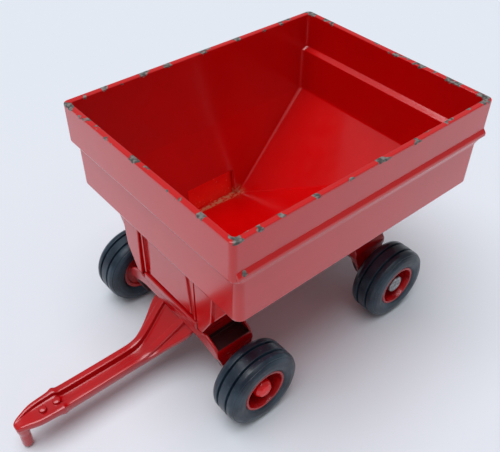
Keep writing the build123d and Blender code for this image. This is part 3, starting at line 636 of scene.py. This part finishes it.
# each corner: radius, distance from the middle plane, rounding
half_tyre = [
    (3.4, 1.8, 0.1), (3.52, 2.0, 0.1), (3.58, 2.32, 0.08), (3.95, HALF_TYRE - 0.14, 0.5),
    (4.7, HALF_TYRE, 0.8), (5.4, HALF_TYRE - 0.1, 0.6), (5.88, HALF_TYRE - 0.4, 0.2),
    (5.9, HALF_TYRE - 0.5, 0.04),
    (6.05, HALF_TYRE - 0.52, 0.1), (TYRE_R - 0.04, HALF_TYRE - 1.0, 0.35), (TYRE_R, 1.14, 0.1),
    (TYRE_R - 0.5, 1.04, 0.06), (TYRE_R - 0.5, 0.82, 0.06), (TYRE_R, 0.7, 0.1)]
rim = [(0.95, -4.15, 0), (1.7, -4.15, 0.2), (1.75, -1.9, 0.2), (2.95, -1.9, 0.1), (2.98, -2.3, 0.08),
       (3.58, -2.3, 0.1), (3.56, -2.0, 0.05), (3.4, -1.8, 0.1), (3.4, 1.8, 0.1), (3.56, 2.0, 0.05),
       (3.6, 2.42, 0.12), (3.2, 2.42, 0.12), (3.05, 1.6, 0.2), (2.95, -1.4, 0.15), (1.75, -1.4, 0.15),
       (1.62, 0.38, 0.12), (0.95, 0.38, 0)]
for end in ("front", "rear"):
    for hand, side in (("left", 1), ("right", -1)):
        wheel = f"wheel_{end}_{hand}"
        centre = wheel_centre(f"tyre_{end}_{hand}")
        outline = [(r, -a, f) for r, a, f in half_tyre] + [(r, a, f) for r, a, f in reversed(half_tyre)]
        piece(turned(centre, rounded(outline)), f"tyre_{end}_{hand}_vinyl", tyre_black, wheel,
              [f"tyre_{end}_{hand}"], 55)
        piece(turned(centre, rounded([(r, side * a, f) for r, a, f in rim])), f"rim_{end}_{hand}_plastic",
              rim_plastic, wheel, [f"rim_{end}_{hand}"], 55)

# ---- turned pieces ----
for hand, side in (("left", 1), ("right", -1)):
    low, high = node_box(f"front_cap_{hand}")
    centre = (low + high) / 2
    deep = (high.y - low.y) / 2
    cap = [(AXLE_RADIUS, -deep, 0), (1.42, -deep, 0.1), (1.5, 0.1, 0.4), (1.42, 0.35, 0.4),
           (1.05, deep * 0.8, 0.5), (0.5, deep, 0.4), (0, deep, 0), (0, -deep + 1.2, 0),
           (AXLE_RADIUS, -deep + 1.2, 0)]
    piece(turned(centre, rounded([(r, side * a, f) for r, a, f in cap]), "Y", 56), f"axle_cap_{hand}",
          red_plastic, "steer", [f"front_cap_{hand}"], 50)

low, high = node_box("rear_axle")
END = (high.y - low.y) / 2
half_rod = [(0, END - 0.12, 0), (0.55, END - 0.1, 0.1), (0.75, END - 0.02, 0.1), (1.1, END, 0.1),
            (1.46, END - 0.14, 0.15), (1.5, END - 0.5, 0.2), (1.48, END - 1.58, 0.1),
            (AXLE_RADIUS, END - 1.6, 0.02)]
rod = half_rod + [(r, -a, f) for r, a, f in reversed(half_rod)]
piece(turned((low + high) / 2, rounded(rod), "Y", 48), "rear_axle_rod", steel, "wagon",
      ["rear_axle"], 50)
low, high = node_box("front_axle_rod")
END = (high.y - low.y) / 2
rod = [(0, END, 0), (AXLE_RADIUS, END, 0.12), (AXLE_RADIUS, -END, 0.12), (0, -END, 0)]
piece(turned((low + high) / 2, rounded(rod), "Y", 48), "front_axle_rod_turned", steel, "steer",
      ["front_axle_rod"], 50)

KING_RADIUS = 1.2
low, high = node_box("king_pin")
king = [(0, low.z, 0), (1.5, low.z, 0.25), (1.9, low.z + 0.35, 0.15), (1.9, low.z + 0.7, 0.05),
        (KING_RADIUS, low.z + 0.7, 0.05), (KING_RADIUS, high.z - 0.6, 0.05), (1.9, high.z - 0.6, 0.1),
        (1.85, high.z - 0.3, 0.2), (1.1, high.z, 0.4), (0, high.z, 0)]
piece(turned(Vector((FRONT_X, 0, 0)), rounded(king), "Z", 48), "king_pin_rivet", steel, "wagon",
      ["king_pin"], 50)
low, high = node_box("king_washer")
washer = [(KING_RADIUS, low.z, 0.04), (2.2, low.z, 0.08), (2.2, high.z, 0.08), (KING_RADIUS, high.z, 0.04)]
piece(turned(Vector((FRONT_X, 0, 0)), rounded(washer), "Z", 48), "king_pin_washer", steel, "wagon",
      ["king_washer"], 50)

# two rivets alike, set out by one small node tree
low, high = node_box("rear_rivets")
RIVET_HEAD = 1.4
rivet = [(0, low.z, 0), (1.0, low.z, 0.2), (RIVET_HEAD, low.z + 0.3, 0.15), (RIVET_HEAD, low.z + 0.6, 0.05),
         (0.8, low.z + 0.6, 0.05), (0.8, high.z - 0.5, 0.05), (1.3, high.z - 0.5, 0.1),
         (1.0, high.z - 0.05, 0.2), (0, high.z, 0)]
one_rivet = turned(Vector((0, 0, 0)), rounded(rivet), "Z", 32)
rivets = solid_object("rivets", bmesh.new())
tree = bpy.data.node_groups.new("rivet_row", "GeometryNodeTree")
tree.interface.new_socket("Geometry", in_out="OUTPUT", socket_type="NodeSocketGeometry")
tree.interface.new_socket("Rivet", in_out="INPUT", socket_type="NodeSocketObject")
tree.interface.new_socket("First", in_out="INPUT", socket_type="NodeSocketVector")
tree.interface.new_socket("Spacing", in_out="INPUT", socket_type="NodeSocketVector")
tree.interface.new_socket("Finish", in_out="INPUT", socket_type="NodeSocketMaterial")
given = node(tree, "NodeGroupInput")
row = node(tree, "GeometryNodeMeshLine", {"mode": "OFFSET"}, Count=2, Start_Location=given.outputs["First"],
           Offset=given.outputs["Spacing"])
shape = node(tree, "GeometryNodeObjectInfo", None, Object=given.outputs["Rivet"])
placed = node(tree, "GeometryNodeInstanceOnPoints", None, Points=row.outputs["Mesh"],
              Instance=shape.outputs["Geometry"])
real = node(tree, "GeometryNodeRealizeInstances", None, Geometry=placed.outputs["Instances"])
done = node(tree, "GeometryNodeSetMaterial", None, Geometry=real.outputs["Geometry"],
            Material=given.outputs["Finish"])
node(tree, "NodeGroupOutput", None, Geometry=done.outputs["Geometry"])
grow = rivets.modifiers.new("rivet_row", "NODES")
grow.node_group = tree
sockets = {item.name: item.identifier for item in tree.interface.items_tree if item.in_out == "INPUT"}
spread = high.y - low.y - 2 * RIVET_HEAD
grow[sockets["Rivet"]] = one_rivet
grow[sockets["First"]] = Vector(((low.x + high.x) / 2, -spread / 2, 0)) * MM
grow[sockets["Spacing"]] = Vector((0, spread, 0)) * MM
grow[sockets["Finish"]] = steel
plain_mesh(rivets)
bpy.data.objects.remove(one_rivet)
piece(rivets, "rear_rivet_pair", steel, "wagon", ["rear_rivets"], 50)

# ---- floor and light ----
floor_mesh = bpy.data.meshes.new("floor")
floor_mesh.from_pydata([(-2, -2, 0), (2, -2, 0), (2, 2, 0), (-2, 2, 0)], [], [(0, 1, 2, 3)])
floor = bpy.data.objects.new("floor", floor_mesh)
scene.collection.objects.link(floor)
# Plain matt pale ground, with hardly any shine.
floor_white, tree, shader, mm = new_material("white_cloth_floor", Roughness=0.9)
shader.inputs["Base Color"].default_value = linear("#E0E3E7")
shader.inputs["Specular IOR Level"].default_value = 0.2
floor_mesh.materials.append(floor_white)

world = bpy.data.worlds.new("studio")
scene.world = world
world.use_nodes = True
world.node_tree.nodes["Background"].inputs["Color"].default_value = linear("#EEF3F8")
world.node_tree.nodes["Background"].inputs["Strength"].default_value = 0.33


def studio_light(name, towards, strength, spread, colour):
    """Even light from a broad soft source far off, its spread in degrees."""
    data = bpy.data.lights.new(name, "SUN")
    data.energy = strength
    data.angle = radians(spread)
    data.color = linear(colour)[:3]
    lamp = bpy.data.objects.new(name, data)
    lamp.location = towards
    lamp.rotation_euler = (-Vector(towards)).to_track_quat("-Z", "Y").to_euler()
    scene.collection.objects.link(lamp)


studio_light("overhead_softbox", (0.1, -0.03, 0.6), 2.6, 52, "#F6F9FF")
scene.view_settings.view_transform = "Standard"
